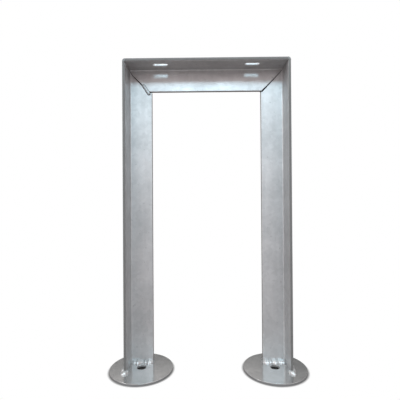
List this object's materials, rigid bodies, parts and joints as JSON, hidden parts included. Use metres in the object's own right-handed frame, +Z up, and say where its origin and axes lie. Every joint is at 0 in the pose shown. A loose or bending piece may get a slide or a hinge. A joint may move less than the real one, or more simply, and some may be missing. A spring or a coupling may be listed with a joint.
{
  "type": "portal stand",
  "caption": "Welded portal stand of galvanised angle steel: slotted top rail with mitred corners on two legs, each on a round base disc with a bolt hole.",
  "frame": {"origin": "on the floor, midway between the feet, on the line through the centres of the two foot holes", "axes": "+Z up, +X to the right for someone facing the open side of the angles, which faces -Y; the back flanges are towards +Y"},
  "size_m": [0.382, 0.122, 0.6],
  "materials": {
    "angle_steel": "hot-dip galvanised, dull silver with soft spangle and faint run marks",
    "base_plate": "hot-dip galvanised, slightly greyer and duller than the angles",
    "weld": "rippled weld bead under zinc, brighter than the plates"
  },
  "bodies": {
    "root": {"top_rail": "angle_steel", "left_leg": "angle_steel", "left_base_disc": "base_plate", "left_corner_weld": "weld", "left_mitre_weld": "weld", "left_foot_inner_weld": "weld", "left_foot_rear_weld": "weld", "left_foot_outer_weld": "weld", "left_foot_tip_weld": "weld", "right_leg": "angle_steel", "right_base_disc": "base_plate", "right_corner_weld": "weld", "right_mitre_weld": "weld", "right_foot_inner_weld": "weld", "right_foot_rear_weld": "weld", "right_foot_outer_weld": "weld", "right_foot_tip_weld": "weld"}
  },
  "joints": []
}
